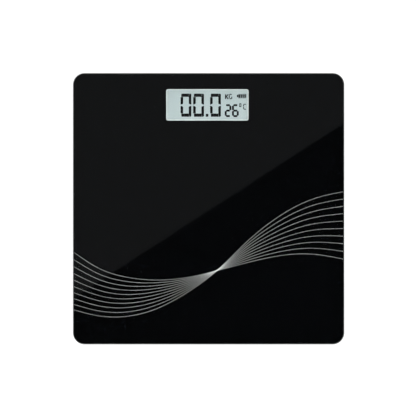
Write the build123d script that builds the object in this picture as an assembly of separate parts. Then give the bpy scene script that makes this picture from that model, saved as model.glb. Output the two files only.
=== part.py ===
from build123d import *
import math
import os

# A square electronic bathroom scale: a glass platform on a moulded tray, four weighing feet, a display and two AAA
# cells. Units are millimetres. +Z is up, +Y runs from the user to the display end, and the origin is on the floor under
# the middle of the platform. Left and right are the user's, and rear is the display end.
#
# Load goes from the glass through foam tape into a cap at each corner, from the cap into the frame of its load cell,
# and from the cell's tongue into the foot's boss. The tray is screwed to the caps and holds everything else. Each foot
# slides up by a fraction of a millimetre as its tongue bends, the battery door hinges downwards, and the unit button is
# pressed upwards.

# --- Platform -------------------------------------------------------------------------------------------------------
PLATE = 260.0  # side of the square glass
PLATE_CORNER = 11.0  # its corner radius in plan
GLASS_T = 5.0
GLASS_BEVEL = 0.6  # ground edge
FILM_T = 0.15  # printed film behind the glass
FILM_INSET = 0.5
BOND_T = 0.1  # clear adhesive between film and glass, left as a gap
WINDOW = (79.2, 30.2)  # clear opening in the print
WINDOW_AT = (-1.2, 99.8)
WINDOW_CORNER = 2.0

# --- Tray -----------------------------------------------------------------------------------------------------------
TRAY_LOW = 3.5  # its underside above the floor
FLOOR_T = 2.0
FLOOR_TOP = TRAY_LOW + FLOOR_T
WALL_T = 2.0
TRAY_TOP = 250.0  # outside of the flange
TRAY_BOTTOM = 238.0  # outside of the flat underside
TRAY_TOP_CORNER = 17.0
TRAY_BOTTOM_CORNER = 14.0
TRAY_EDGE_R = 2.4
TRAY_SHOULDER = 14.0  # where the sloping side turns upright
RIM_TOP = 17.0
FLANGE_T = 2.0
FLANGE_IN = 236.0
FLANGE_IN_CORNER = 10.0
TAPE_T = 1.0
TAPE_OUT = 249.0
TAPE_IN = 238.0
RIB_T = 1.6
RIB_TOP = 10.8
RIB_X = 45.0  # the two long ribs
RIB_LONG = (-118.0, 69.0)  # their ends along Y
RIB_Y = (-45.0, 0.0)  # the two cross ribs
BURY = 0.5  # how far ribs and posts run into the floor
TROUGH_W = 6.5  # notch in a rib where wires pass
TROUGH_TOP = 9.2
TROUGH_L = 130.0
GROOVE_W = 1.2  # decorative grooves in the underside
GROOVE_DEEP = 0.45
GROOVE_L = 44.0
GROOVE_AT = 76.0  # their middle, from the tray's middle
GROOVE_PITCH = 4.0
PANEL = (72.0, 30.0)  # blank label panel, let into the underside
PANEL_AT = (0.0, -28.0)
PANEL_DEEP = 0.3

# --- Heights above the tray -----------------------------------------------------------------------------------------
FILM_LOW = RIM_TOP + TAPE_T
GLASS_LOW = FILM_LOW + FILM_T + BOND_T

# --- Corners: foot, load cell and cap -------------------------------------------------------------------------------
FOOT_AT = 90.0  # each foot's centre, along X and along Y
PAD_R = 17.5
PAD_T = 2.0
PAD_PROUD = 1.5  # how far it stands out of the foot
PAD_EDGE_R = 0.5
PAD_FIT = 0.05
TREAD_R = (5.0, 9.0, 13.0)
TREAD_W = 1.2
TREAD_DEEP = 0.5
SOLE_R = 20.0
SOLE_EDGE_R = 1.0
SOLE_GAP = 0.5  # round the sole, and round the flange above it
FOOT_PLAY = 0.2  # the flange hangs this far above the tray's lip
FOOT_FLANGE_R = 22.5
FOOT_FLANGE_T = 1.5
FOOT_BOSS_R = 5.0
FOOT_RIB_T = 1.4
FOOT_RIB_CLEAR = 0.9  # below the load cell
COLLAR_IN_R = FOOT_FLANGE_R + SOLE_GAP
COLLAR_OUT_R = 26.0
COLLAR_TOP = 11.0
CELL_PLATE = 34.0  # side of the square load cell
CELL_PLATE_CORNER = 5.0
CELL_PLATE_T = 1.2
CELL_FRAME_W = 5.0
CELL_SLOT = 1.6  # cut between frame and tongue
CELL_NECK_W = 9.0
CELL_LOW = COLLAR_TOP - CELL_PLATE_T
COATING = (7.0, 6.0, 0.5)  # soft cover over the strain gauges
COATING_X = 5.5
CAP_PLATE_T = 2.5
CAP_PLATE_TOP = COLLAR_TOP + CAP_PLATE_T
CAP_WALL = 4.0
CAP_RELIEF = 1.2  # room above the tongue
CAP_RIB_T = 1.8
CAP_FIT = 0.3  # round the load cell and inside the collar
EAR_AT = 29.0  # a cap screw's distance from the foot's centre
EAR_R = 3.3

# Each corner: its side along X and along Y, the way its wires leave, and which hand its screw ears take.
CORNERS = {
    "rear_right": (1, 1, 180, -1),
    "rear_left": (-1, 1, 0, 1),
    "front_right": (1, -1, 90, -1),
    "front_left": (-1, -1, 90, 1),
}

# --- Screws ---------------------------------------------------------------------------------------------------------
SCREW_R = 0.9
SCREW_TIP_R = 0.3
SCREW_TIP_L = 0.8
SCREW_HEAD_R = 1.8
SCREW_HEAD_T = 1.4
SCREW_RECESS = (2.0, 0.45, 0.7)  # cross recess: length, width, depth
SCREW_LONG = 6.5
SCREW_SHORT = 5.5
PILOT_R = 1.0
THROUGH_R = 1.15

# --- Display and circuit board --------------------------------------------------------------------------------------
BEZEL = (96.0, 35.8)  # display frame, outside
BEZEL_CORNER = 2.0
BEZEL_TOP = FILM_LOW - 0.3  # a thin tape fills the rest
BEZEL_LIP = 0.7
BEZEL_SHOWS = 0.9  # how much of the lip shows inside the window
LCD = (84.0, 32.4)
LCD_GLASS_T = 1.1
LCD_FILM_T = 0.2
LCD_FILM_INSET = 0.5
LCD_LEDGE = 3.6  # strip of contacts along the front edge
LCD_FIT = 0.3
LCD_TOP = BEZEL_TOP - BEZEL_LIP
FRONT_GLASS_LOW = LCD_TOP - LCD_FILM_T - LCD_GLASS_T
REAR_GLASS_LOW = FRONT_GLASS_LOW - LCD_GLASS_T
REFLECTOR_LOW = REAR_GLASS_LOW - LCD_FILM_T
SHELF_T = 1.4
ZEBRA = (80.0, 2.4)
ZEBRA_Y = 1.6  # its middle, from the panel's front edge
BOARD = (96.0, 39.5)
BOARD_AT = (WINDOW_AT[0], 96.5)
BOARD_TOP = 10.7
BOARD_T = 1.2
BOARD_LOW = BOARD_TOP - BOARD_T
BOARD_SCREW_X = 45.3  # either side of the display's middle
BOARD_SCREW_Y = (85.5, 113.0)
WIRE_HOLE_R = 0.4
FRAME_EAR_X = 52.5  # the frame's own screws, either side of its middle
FRAME_EAR_R = 3.6
FRAME_EAR_T = 2.0
FRAME_POST_R = 3.2
BLOB_AT = (-22.0, 100.0)  # epoxy over the controller chip
BLOB_R = 6.2
BLOB_T = 1.6
CHIP = (2.0, 1.2, 0.6)  # chip resistors and capacitors
CHIP_PITCH = (4.5, 6.0)
CHIPS_AT = (-4.0, 98.0)
CHIP_COLUMNS = 5
CAN_AT = (31.0, 104.0)  # the one can capacitor
CAN_R = 2.5
CAN_H = 2.2
BEAD_AT = (-37.0, 96.0)  # temperature sensor
BEAD_R = 1.1
BEAD_DROP = 1.6
BEAD_LEG_R = 0.25
BEAD_LEG_X = 0.7

# --- Unit button ----------------------------------------------------------------------------------------------------
BUTTON_AT = (29.0, 82.0)
BUTTON_R = 4.0
BUTTON_GAP = 0.2
BUTTON_SUNK = 0.2  # face above the tray's underside
BUTTON_EDGE_R = 0.4
BUTTON_FLANGE_R = 5.2
BUTTON_TOP = FLOOR_TOP + 0.8
BUTTON_PLAY = 0.1  # under its flange
BUTTON_DISH_R = 16.0
BUTTON_DISH_DEEP = 0.5
GUIDE_R = (5.6, 7.2)
GUIDE_TOP = 7.0
SWITCH = 6.0
SWITCH_H = 2.5
PLUNGER_R = 1.75
PLUNGER_TOP = BUTTON_TOP + 1.6
PLUNGER_GAP = 0.1
PLUNGER_ROOM = 0.7  # above the plunger

# --- Battery bay ----------------------------------------------------------------------------------------------------
CELL_D = 10.5  # an AAA cell
CELL_L = 44.5
CELL_EDGE_R = 0.5
CELL_NUB_R = 1.9
CELL_NUB_L = 1.0
CELL_Y = 5.6  # either side of the bay's middle
CELL_Z = 10.85
BAY_AT = (0.0, 34.0)
BAY = (51.5, 23.0)  # inside
BAY_END = BAY[0] / 2
BAY_WALL = 1.5
BAY_CORNER = 1.2
BAY_ROOF = 16.4
BAY_ROOF_T = 1.0
BAY_PAD = (67.0, 33.0)  # thickened floor round the opening
BAY_PAD_TOP = 6.6
DOOR = (58.4, 26.4)
DOOR_T = 1.6
DOOR_GAP = 0.3
DOOR_CORNER = 1.2
DOOR_TOP = TRAY_LOW + DOOR_T
HINGE_X = 27.0
HINGE_R = DOOR_T + 0.1  # the barrel, flush with the tray's underside
HINGE_Z = TRAY_LOW + HINGE_R
HINGE_HALF = 11.2  # half the barrel's length
PIN_R = 0.9
PIN_L = 1.8
PIN_GAP = 0.05
LUG = (6.0, 3.6, 8.0)  # carries a pin: length, width, top
LUG_Y = HINGE_HALF + 2.0
TONGUE_SLOT = (11.0, 0.8)  # either side of the latch tongue
TONGUE_Y = 6.0
CATCH = (1.0, 3.6, 7.0)  # catch on the tongue: length, width, top
CATCH_GAP = 0.3
NIB = (0.55, 6.1, 6.7)  # its nib: reach, bottom, top
RIDGE = (0.8, 9.0, 0.4)  # finger ridges
RIDGE_PITCH = 1.8
RIDGES = 4
THUMB_R = 8.0  # scoop beside the tongue
THUMB_DEEP = 1.2

# --- Battery contacts -----------------------------------------------------------------------------------------------
CONTACT_T = 0.4
CONTACT_Z = (7.6, 14.4)
CONTACT_W = 8.0
BRIDGE_W = 19.0
DIMPLE = 0.8  # height of the button that a cell's nub meets
DIMPLE_R = (2.4, 1.6)
TAB_Z = 13.6  # solder tab through the end wall
TAB = (3.7, 3.0)
SPRING_L = BAY[0] - 2 * CONTACT_T - DIMPLE - CELL_L
SPRING_WIRE_R = 0.3
SPRING_R = 3.2
SPRING_TURNS = 3.5
SPRING_SEAT = 0.1  # how far it is let into the plate

# --- Wires ----------------------------------------------------------------------------------------------------------
WIRE_R = 0.6
WIRE_PITCH = 1.5
WIRE_BEND_MAX = 12.0
WIRE_FLOOR_Z = FLOOR_TOP + WIRE_R + 0.2  # lying on the tray's floor
WIRE_CAP_Z = COLLAR_TOP + 0.75  # leaving a cap
WIRE_BOARD_Z = BOARD_LOW - WIRE_R - 0.1  # soldered under the board
WIRE_OVER_Z = 8.6  # passing over the sensor wires
WIRE_LANE_Y = 60.0  # the front wires cross here
WIRE_RISE_X = 10.0  # and turn to the board here
RED_LANE_X = 35.0
BLACK_LANE_X = 38.0


def slab(size, corner, low, high, at=(0, 0)):
    """An upright block with rounded corners in plan."""
    return Pos(*at, low) * extrude(RectangleRounded(*size, corner), high - low)


def block(size, low, high, at=(0, 0)):
    """An upright block with sharp corners."""
    return Pos(*at, (low + high) / 2) * Box(*size, high - low)


def post(radius, low, high, at=(0, 0)):
    """An upright cylinder."""
    return Pos(*at, (low + high) / 2) * Cylinder(radius, high - low)


def tube(outer, inner, low, high, at=(0, 0)):
    """An upright ring."""
    return post(outer, low, high, at) - post(inner, low - 1, high + 1, at)


def at_window(x, y):
    """A place given from the middle of the display window."""
    return (WINDOW_AT[0] + x, WINDOW_AT[1] + y)


def at_bay(x, y):
    """A place given from the middle of the battery bay."""
    return (BAY_AT[0] + x, BAY_AT[1] + y)


def to_corner(shape, corner):
    """Turns a piece drawn about its own centre, with its wires leaving along +X, and sets it in its corner."""
    side_x, side_y, turn, _ = CORNERS[corner]
    return Pos(side_x * FOOT_AT, side_y * FOOT_AT, 0) * Rot(0, 0, turn) * shape


def ear_places(hand):
    """The two screw places of a cap, about its own centre."""
    half = EAR_AT / math.sqrt(2)
    return [(half, hand * half), (-half, -hand * half)]


def screw(seat, length, head_up=True):
    """A pan-head screw with a cross recess, its head resting on the height seat."""
    head = post(SCREW_HEAD_R, 0, SCREW_HEAD_T)
    head = fillet(head.edges().sort_by(Axis.Z)[-1], SCREW_HEAD_T / 3)
    recess_l, recess_w, recess_deep = SCREW_RECESS
    for turn in (0, 90):
        head -= Rot(0, 0, turn) * block((recess_l, recess_w), SCREW_HEAD_T - recess_deep, SCREW_HEAD_T + 1)
    base = (Align.CENTER, Align.CENTER, Align.MIN)
    tip = Pos(0, 0, -length) * Cone(SCREW_TIP_R, SCREW_R, SCREW_TIP_L, align=base)
    body = head + post(SCREW_R, SCREW_TIP_L - length, 0) + tip
    return Pos(0, 0, seat) * (body if head_up else Rot(180, 0, 0) * body)


# --- Platform -------------------------------------------------------------------------------------------------------
def glass_platform():
    """Toughened glass with a ground bevel along both edges."""
    plate = slab((PLATE, PLATE), PLATE_CORNER, GLASS_LOW, GLASS_LOW + GLASS_T)
    rims = plate.edges().group_by(Axis.Z)
    return chamfer(rims[0] + rims[-1], GLASS_BEVEL)


def backing_film():
    """Printed film that hides the works, with a clear window for the display."""
    side = PLATE - 2 * FILM_INSET
    film = slab((side, side), PLATE_CORNER - FILM_INSET, FILM_LOW, FILM_LOW + FILM_T)
    return film - slab(WINDOW, WINDOW_CORNER, FILM_LOW - 1, FILM_LOW + 1, WINDOW_AT)


def rim_tape():
    """Foam tape round the tray's flange."""
    ring = slab((TAPE_OUT, TAPE_OUT), TRAY_TOP_CORNER, RIM_TOP, FILM_LOW)
    return ring - slab((TAPE_IN, TAPE_IN), FLANGE_IN_CORNER, RIM_TOP - 1, FILM_LOW + 1)


def cap_tape_rings():
    """A ring of foam tape on each cap."""
    ring = tube(COLLAR_OUT_R, COLLAR_OUT_R - CAP_WALL, RIM_TOP, FILM_LOW)
    return Compound([to_corner(ring, corner) for corner in CORNERS])


# --- Tray -----------------------------------------------------------------------------------------------------------
def dish(low, high, inset):
    """The tray's outline, inset all round, sloping outwards up to the shoulder."""
    bottom = TRAY_BOTTOM - 2 * inset
    top = TRAY_TOP - 2 * inset
    lower = Pos(0, 0, low) * RectangleRounded(bottom, bottom, TRAY_BOTTOM_CORNER - inset)
    upper = Pos(0, 0, TRAY_SHOULDER) * RectangleRounded(top, top, TRAY_TOP_CORNER - inset)
    return loft([lower, upper]) + slab((top, top), TRAY_TOP_CORNER - inset, TRAY_SHOULDER, high)


def tray_shell():
    """Floor, sloping sides and the flange that takes the tape."""
    outside = dish(TRAY_LOW, RIM_TOP, 0)
    outside = fillet(outside.faces().sort_by(Axis.Z)[0].edges(), TRAY_EDGE_R)
    shell = outside - dish(FLOOR_TOP, RIM_TOP - FLANGE_T, WALL_T)
    return shell - slab((FLANGE_IN, FLANGE_IN), FLANGE_IN_CORNER, RIM_TOP - FLANGE_T - 1, RIM_TOP + 1)


def tray_ribs():
    """Stiffening ribs across the floor, notched where wires pass."""
    low = FLOOR_TOP - BURY
    ribs = block((RIB_T, FOOT_AT), low, RIB_TOP, (0, -FOOT_AT / 2 - 2 * RIB_T))
    for y in RIB_Y:
        ribs += block((TRAY_BOTTOM - WALL_T, RIB_T), low, RIB_TOP, (0, y))
    ribs += block((2 * (FOOT_AT - COLLAR_OUT_R + 1), RIB_T), low, RIB_TOP, (0, -FOOT_AT))
    rib_front, rib_rear = RIB_LONG
    for side in (-1, 1):
        ribs += block((RIB_T, rib_rear - rib_front), low, RIB_TOP, (side * RIB_X, (rib_front + rib_rear) / 2))
    for side in (-1, 1):
        ribs -= block((TROUGH_W, TROUGH_L), FLOOR_TOP, TROUGH_TOP, (side * FOOT_AT, 0))
    return ribs - block((2 * FOOT_AT, TROUGH_W), FLOOR_TOP, TROUGH_TOP, (0, WIRE_LANE_Y))


def corner_walls(hand):
    """Collar round a foot, and the two posts for the cap's screws, about the foot's own centre."""
    low = FLOOR_TOP - BURY
    made = tube(COLLAR_OUT_R, COLLAR_IN_R, low, COLLAR_TOP)
    for place in ear_places(hand):
        made += post(EAR_R, low, COLLAR_TOP, place)
    return made


def corner_cut(hand):
    """The hole for the foot, the room for its flange, and the screw pilots."""
    cut = post(SOLE_R + SOLE_GAP, TRAY_LOW - 1, FLOOR_TOP + 1)
    cut += post(COLLAR_IN_R, FLOOR_TOP, COLLAR_TOP + 1)
    for place in ear_places(hand):
        cut += post(PILOT_R, FLOOR_TOP + BURY, COLLAR_TOP + 1, place)
    return cut


def bay_walls():
    """Box round the two cells, on a thickened floor, with a lug for each of the door's hinge pins."""
    outer = (BAY[0] + 2 * BAY_WALL, BAY[1] + 2 * BAY_WALL)
    walls = slab(BAY_PAD, BAY_CORNER, FLOOR_TOP - BURY, BAY_PAD_TOP, BAY_AT)
    walls += slab(outer, BAY_CORNER, FLOOR_TOP, BAY_ROOF + BAY_ROOF_T, BAY_AT)
    return walls + hinge_lugs(TRAY_LOW)


def hinge_lugs(low):
    lugs = block(LUG[:2], low, LUG[2], at_bay(HINGE_X, -LUG_Y))
    return lugs + block(LUG[:2], low, LUG[2], at_bay(HINGE_X, LUG_Y))


def along_hinge(radius, half_length):
    """A rod on the door's hinge axis."""
    return Pos(*at_bay(HINGE_X, 0), HINGE_Z) * Rot(90, 0, 0) * Cylinder(radius, 2 * half_length)


def bay_cut():
    """Everything that the battery bay and its door take out of the tray."""
    below = TRAY_LOW - 1
    recess = (DOOR[0] + 2 * DOOR_GAP, DOOR[1] + 2 * DOOR_GAP)
    barrel_room = (2 * (HINGE_R + DOOR_GAP), 2 * HINGE_HALF)
    cut = slab(recess, DOOR_CORNER, below, DOOR_TOP + PIN_GAP, BAY_AT)
    cut += block(barrel_room, below, HINGE_Z + HINGE_R + DOOR_GAP, at_bay(HINGE_X, 0))
    cut -= hinge_lugs(below)
    cut += block(BAY, below, BAY_ROOF, BAY_AT)
    cut += along_hinge(PIN_R + PIN_GAP, HINGE_HALF + PIN_L + PIN_GAP)
    for side in (-1, 1):
        tab_place = at_bay(BAY_END + BAY_WALL / 2, side * CELL_Y)
        cut += block((2 * BAY_WALL, TAB[1] + 2 * DOOR_GAP), TAB_Z - DOOR_GAP, TAB_Z + CONTACT_T + DOOR_GAP, tab_place)
    nib_room = (2 * NIB[0] + CATCH_GAP, CATCH[1] + 2 * CATCH_GAP)
    cut += block(nib_room, NIB[1] - CATCH_GAP, CATCH[2] + CATCH_GAP, at_bay(-BAY_END, 0))
    return cut + post(THUMB_R, below, TRAY_LOW + THUMB_DEEP, at_bay(-DOOR[0] / 2 - 1, 0))


def underside_cut():
    """Shallow decoration: three grooves from the middle towards each foot, and the blank label panel."""
    below = TRAY_LOW - 1
    cut = block(PANEL, below, TRAY_LOW + PANEL_DEEP, PANEL_AT)
    for turn in (45, 135, 225, 315):
        for step in (-1, 0, 1):
            groove = block((GROOVE_L, GROOVE_W), below, TRAY_LOW + GROOVE_DEEP, (GROOVE_AT, step * GROOVE_PITCH))
            cut += Rot(0, 0, turn) * groove
    return cut


def base_tray():
    """The one-piece moulded tray."""
    low = FLOOR_TOP - BURY
    ear_posts = [at_window(side * FRAME_EAR_X, 0) for side in (-1, 1)]
    tray = tray_shell() + tray_ribs() + bay_walls()
    tray += tube(GUIDE_R[1], GUIDE_R[0], low, GUIDE_TOP, BUTTON_AT)
    for place in ear_posts:
        tray += post(FRAME_POST_R, low, BOARD_TOP, place)
    for corner, (_, _, _, hand) in CORNERS.items():
        tray += to_corner(corner_walls(hand), corner)
    for corner, (_, _, _, hand) in CORNERS.items():
        tray -= to_corner(corner_cut(hand), corner)
    for place in ear_posts:
        tray -= post(PILOT_R, FLOOR_TOP + BURY, BOARD_TOP + 1, place)
    tray -= post(BUTTON_R + BUTTON_GAP, TRAY_LOW - 1, FLOOR_TOP + 1, BUTTON_AT)
    return tray - bay_cut() - underside_cut()


# --- Corners --------------------------------------------------------------------------------------------------------
def load_cell():
    """Stamped steel plate: a square frame, and a tongue joined to it on the side where the wires leave."""
    hole = CELL_PLATE - 2 * CELL_FRAME_W
    reach = hole - 2 * CELL_SLOT
    plate = slab((CELL_PLATE, CELL_PLATE), CELL_PLATE_CORNER, CELL_LOW, COLLAR_TOP)
    plate -= slab((hole, hole), 1, CELL_LOW - 1, COLLAR_TOP + 1)
    plate += slab((reach / 2, reach), 1, CELL_LOW, COLLAR_TOP, (-reach / 4, 0))
    return plate + block((hole / 2 + 1, CELL_NECK_W), CELL_LOW, COLLAR_TOP, (hole / 4, 0))


def gauge_coating():
    """Soft cover over the two strain gauges on the tongue's neck."""
    length, width, height = COATING
    cover = slab((length, width), 1, COLLAR_TOP, COLLAR_TOP + height, (COATING_X, 0))
    return fillet(cover.edges().group_by(Axis.Z)[-1], height / 2)


def cell_cap(hand):
    """Ribbed cap that presses on the load cell's frame and carries the glass."""
    cap = post(COLLAR_OUT_R, COLLAR_TOP, CAP_PLATE_TOP)
    cap += post(COLLAR_IN_R - CAP_FIT, CELL_LOW, COLLAR_TOP)
    cap += tube(COLLAR_OUT_R, COLLAR_OUT_R - CAP_WALL, CAP_PLATE_TOP, RIM_TOP)
    for turn in (0, 60, 120):
        cap += Rot(0, 0, turn) * block((2 * COLLAR_IN_R, CAP_RIB_T), CAP_PLATE_TOP, RIM_TOP - BURY)
    for place in ear_places(hand):
        cap += post(EAR_R, COLLAR_TOP, CAP_PLATE_TOP, place)
        cap -= post(SCREW_HEAD_R + CAP_FIT, CAP_PLATE_TOP, RIM_TOP + 1, place)
        cap -= post(THROUGH_R, COLLAR_TOP - 1, CAP_PLATE_TOP + 1, place)
    seat = CELL_PLATE + 2 * CAP_FIT
    hole = CELL_PLATE - 2 * CELL_FRAME_W
    cap -= slab((seat, seat), CELL_PLATE_CORNER, CELL_LOW - 1, COLLAR_TOP)
    cap -= slab((hole, hole), 1, COLLAR_TOP - 1, COLLAR_TOP + CAP_RELIEF)
    way_out = (COLLAR_OUT_R, 4 * WIRE_PITCH)
    return cap - block(way_out, COLLAR_TOP, COLLAR_TOP + CAP_RELIEF + CAP_FIT, (COLLAR_OUT_R / 2 + COATING_X, 0))


def foot():
    """Moulded foot: a round sole, a flange that the tray's lip holds, and a boss under the load cell's tongue."""
    sole_top = FLOOR_TOP + FOOT_PLAY
    made = post(SOLE_R, PAD_PROUD, sole_top)
    made = fillet(made.edges().sort_by(Axis.Z)[0], SOLE_EDGE_R)
    made += post(FOOT_FLANGE_R, sole_top, sole_top + FOOT_FLANGE_T)
    made += post(FOOT_BOSS_R, sole_top + FOOT_FLANGE_T, CELL_LOW)
    for turn in (0, 45, 90, 135):
        made += Rot(0, 0, turn) * block((2 * PAD_R, FOOT_RIB_T), sole_top, CELL_LOW - FOOT_RIB_CLEAR)
    return made - post(PAD_R + PAD_FIT, PAD_PROUD - 1, PAD_T)


def foot_pad():
    """Rubber pad let into the sole, with rings of tread."""
    pad = post(PAD_R, 0, PAD_T)
    pad = fillet(pad.edges().sort_by(Axis.Z)[0], PAD_EDGE_R)
    for radius in TREAD_R:
        pad -= tube(radius + TREAD_W / 2, radius - TREAD_W / 2, -1, TREAD_DEEP)
    return pad


def cap_screws():
    """The two screws of each cap."""
    made = []
    for corner, (_, _, _, hand) in CORNERS.items():
        for place in ear_places(hand):
            made.append(to_corner(Pos(*place, 0) * screw(CAP_PLATE_TOP, SCREW_LONG), corner))
    return Compound(made)


# --- Display and circuit board --------------------------------------------------------------------------------------
def board_screw_places():
    return [(WINDOW_AT[0] + side * BOARD_SCREW_X, y) for side in (-1, 1) for y in BOARD_SCREW_Y]


def display_tape():
    """Thin tape between the display frame and the film."""
    ring = slab(BEZEL, BEZEL_CORNER, BEZEL_TOP, FILM_LOW, WINDOW_AT)
    opening = (WINDOW[0] + BEZEL_SHOWS, WINDOW[1] + BEZEL_SHOWS)
    return ring - slab(opening, WINDOW_CORNER, BEZEL_TOP - 1, FILM_LOW + 1, WINDOW_AT)


def display_frame():
    """Pale frame that holds the liquid-crystal panel up against its lip, with an ear and a screw at each side."""
    body = slab(BEZEL, BEZEL_CORNER, BOARD_TOP, BEZEL_TOP, WINDOW_AT)
    ears = [at_window(side * FRAME_EAR_X, 0) for side in (-1, 1)]
    for place in ears:
        body += post(FRAME_EAR_R, BOARD_TOP, BOARD_TOP + FRAME_EAR_T, place)
    span = (2 * FRAME_EAR_X, 2 * FRAME_EAR_R)
    body += block(span, BOARD_TOP, BOARD_TOP + FRAME_EAR_T, WINDOW_AT)
    opening = (WINDOW[0] - 2 * BEZEL_SHOWS, WINDOW[1] - 2 * BEZEL_SHOWS)
    body -= slab(opening, WINDOW_CORNER / 2, BOARD_TOP - 1, BEZEL_TOP + 1, WINDOW_AT)
    pocket = (LCD[0] + 2 * LCD_FIT, LCD[1] + 2 * LCD_FIT)
    body -= block(pocket, BOARD_TOP - 1, LCD_TOP, WINDOW_AT)
    rear_shelf_y = (pocket[1] - SHELF_T) / 2
    front_shelf_y = LCD_LEDGE - LCD[1] / 2 + SHELF_T / 2
    for y in (front_shelf_y, rear_shelf_y):
        body += block((pocket[0], SHELF_T), BOARD_TOP, REFLECTOR_LOW, at_window(0, y))
    for place in ears:
        body -= post(THROUGH_R, BOARD_TOP - 1, BOARD_TOP + FRAME_EAR_T + 1, place)
    for place in board_screw_places():
        body -= post(PILOT_R, BOARD_TOP - 1, BOARD_TOP + SCREW_SHORT, place)
    return body


def lcd_polariser():
    """The film on the face of the front glass, which fills the whole of the frame's opening."""
    size = (LCD[0] - 2 * LCD_FILM_INSET, LCD[1] - 2 * LCD_FILM_INSET)
    return block(size, LCD_TOP - LCD_FILM_T, LCD_TOP, WINDOW_AT)


def lcd_reflector():
    """The film under the rear glass."""
    size = (LCD[0] - 2 * LCD_FILM_INSET, LCD[1] - LCD_LEDGE)
    return block(size, REFLECTOR_LOW, REAR_GLASS_LOW, at_window(0, LCD_LEDGE / 2))


def lcd_front_glass():
    """The upper glass, whose front edge overhangs the rear one to carry the contacts."""
    return block(LCD, FRONT_GLASS_LOW, FRONT_GLASS_LOW + LCD_GLASS_T, WINDOW_AT)


def lcd_rear_glass():
    return block((LCD[0], LCD[1] - LCD_LEDGE), REAR_GLASS_LOW, FRONT_GLASS_LOW, at_window(0, LCD_LEDGE / 2))


def zebra_strip():
    """Striped rubber connector from the panel's ledge down to the board."""
    return block(ZEBRA, BOARD_TOP, FRONT_GLASS_LOW, at_window(0, ZEBRA_Y - LCD[1] / 2))


def circuit_board():
    """Board with its screw holes, and a hole for each wire from the front feet."""
    board = slab(BOARD, 1, BOARD_LOW, BOARD_TOP, BOARD_AT)
    for place in board_screw_places():
        board -= post(THROUGH_R, BOARD_LOW - 1, BOARD_TOP + 1, place)
    for side in (-1, 1):
        for step in (-1, 0, 1):
            hole_x = side * WIRE_RISE_X + step * WIRE_PITCH
            board -= post(WIRE_HOLE_R, BOARD_LOW - 1, BOARD_TOP + 1, (hole_x, BUTTON_AT[1] + 2))
    return board


def controller_blob():
    """Shallow epoxy dome over the controller chip, under the board."""
    ball_r = (BLOB_R**2 + BLOB_T**2) / (2 * BLOB_T)
    ball = Pos(*BLOB_AT, BOARD_LOW - BLOB_T + ball_r) * Sphere(ball_r)
    return ball & post(BLOB_R + 1, BOARD_LOW - BLOB_T - 1, BOARD_LOW, BLOB_AT)


def board_components():
    """Chip resistors and capacitors, and one can capacitor, under the board."""
    length, width, height = CHIP
    made = [post(CAN_R, BOARD_LOW - CAN_H, BOARD_LOW, CAN_AT)]
    for column in range(CHIP_COLUMNS):
        for row, size in enumerate([(width, length), (length, width)]):
            place = (CHIPS_AT[0] + column * CHIP_PITCH[0], CHIPS_AT[1] + row * CHIP_PITCH[1])
            made.append(block(size, BOARD_LOW - height, BOARD_LOW, place))
    return Compound(made)


def thermistor():
    """Bead that reads the room's temperature, on two short legs."""
    x, y = BEAD_AT
    bead = Pos(x, y, BOARD_LOW - BEAD_DROP) * Sphere(BEAD_R)
    for side in (-1, 1):
        bead += post(BEAD_LEG_R, BOARD_LOW - BEAD_DROP, BOARD_LOW, (x + side * BEAD_LEG_X, y))
    return bead


def board_screws():
    """Four screws up through the board into the display frame."""
    one = screw(BOARD_LOW, SCREW_SHORT, head_up=False)
    return Compound([Pos(*place, 0) * one for place in board_screw_places()])


def frame_screws():
    """Two screws down through the display frame's ears into the tray."""
    one = screw(BOARD_TOP + FRAME_EAR_T, SCREW_LONG)
    return Compound([Pos(*at_window(side * FRAME_EAR_X, 0), 0) * one for side in (-1, 1)])


# --- Unit button ----------------------------------------------------------------------------------------------------
def tact_switch():
    """Body of the unit switch, under the board, with the well that its plunger slides in."""
    low = BOARD_LOW - SWITCH_H
    body = slab((SWITCH, SWITCH), BEZEL_LIP, low, BOARD_LOW, BUTTON_AT)
    return body - post(PLUNGER_R + PLUNGER_GAP, low - 1, PLUNGER_TOP + PLUNGER_ROOM, BUTTON_AT)


def switch_plunger():
    return post(PLUNGER_R, BUTTON_TOP, PLUNGER_TOP, BUTTON_AT)


def unit_button():
    """Round button with a dished face, kept in the tray by its flange."""
    low = TRAY_LOW + BUTTON_SUNK
    flange_low = FLOOR_TOP + BUTTON_PLAY
    button = post(BUTTON_R, low, flange_low, BUTTON_AT)
    button = fillet(button.edges().sort_by(Axis.Z)[0], BUTTON_EDGE_R)
    button += post(BUTTON_FLANGE_R, flange_low, BUTTON_TOP, BUTTON_AT)
    return button - Pos(*BUTTON_AT, low + BUTTON_DISH_DEEP - BUTTON_DISH_R) * Sphere(BUTTON_DISH_R)


# --- Battery bay ----------------------------------------------------------------------------------------------------
def battery(toward):
    """An AAA cell whose positive end points along X towards the side toward: 1 is the hinge, -1 the latch."""
    can_l = CELL_L - CELL_NUB_L
    body = post(CELL_D / 2, 0, can_l)
    body = fillet(body.edges().filter_by(GeomType.CIRCLE), CELL_EDGE_R)
    body += post(CELL_NUB_R, can_l, CELL_L)
    start = toward * (BAY_END - CONTACT_T - DIMPLE - CELL_L)
    return Pos(*at_bay(start, -toward * CELL_Y), CELL_Z) * Rot(0, toward * 90, 0) * body


def contact_plate(end, y, width):
    """A thin plate on the bay's end wall on the side end."""
    return block((CONTACT_T, width), *CONTACT_Z, at_bay(end * (BAY_END - CONTACT_T / 2), y))


def from_plate(shape, end, side):
    """Stands a shape, drawn along +Z, out from the plate on the side end, on the axis of the cell on the given side."""
    return Pos(*at_bay(end * (BAY_END - CONTACT_T), side * CELL_Y), CELL_Z) * Rot(0, -end * 90, 0) * shape


def dimple():
    """The raised button that a cell's nub meets."""
    return Cone(*DIMPLE_R, DIMPLE, align=(Align.CENTER, Align.CENTER, Align.MIN))


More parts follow.
